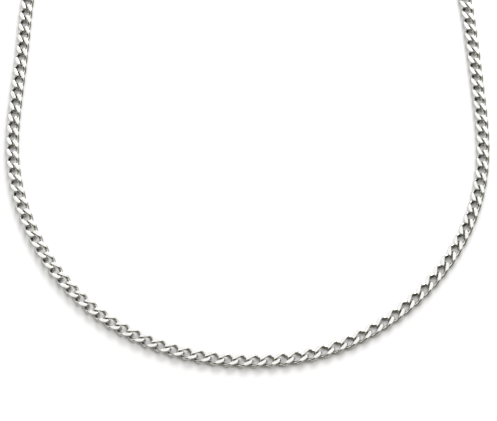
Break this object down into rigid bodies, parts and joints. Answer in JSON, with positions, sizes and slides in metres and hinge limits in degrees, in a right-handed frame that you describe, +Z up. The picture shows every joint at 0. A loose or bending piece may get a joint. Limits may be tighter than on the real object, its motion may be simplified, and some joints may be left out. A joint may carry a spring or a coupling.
{
  "type": "curb chain necklace",
  "caption": "Necklace of twisted, flat-ground curb links in one closed loop, joined at the back by a plain barrel with an eye at either end.",
  "frame": {"origin": "middle of the loop's box, on the surface that the chain lies on", "axes": "+Z up from that surface, +Y from the front of the loop to the fastening at the back, +X to the right"},
  "size_m": [0.1446, 0.1774, 0.0032],
  "materials": {
    "polished_links": "polished steel with flat-ground faces",
    "polished_clasp": "polished steel"
  },
  "bodies": {
    "root": {"chain_left": "polished_links", "chain_right": "polished_links", "clasp": "polished_clasp"}
  },
  "joints": []
}
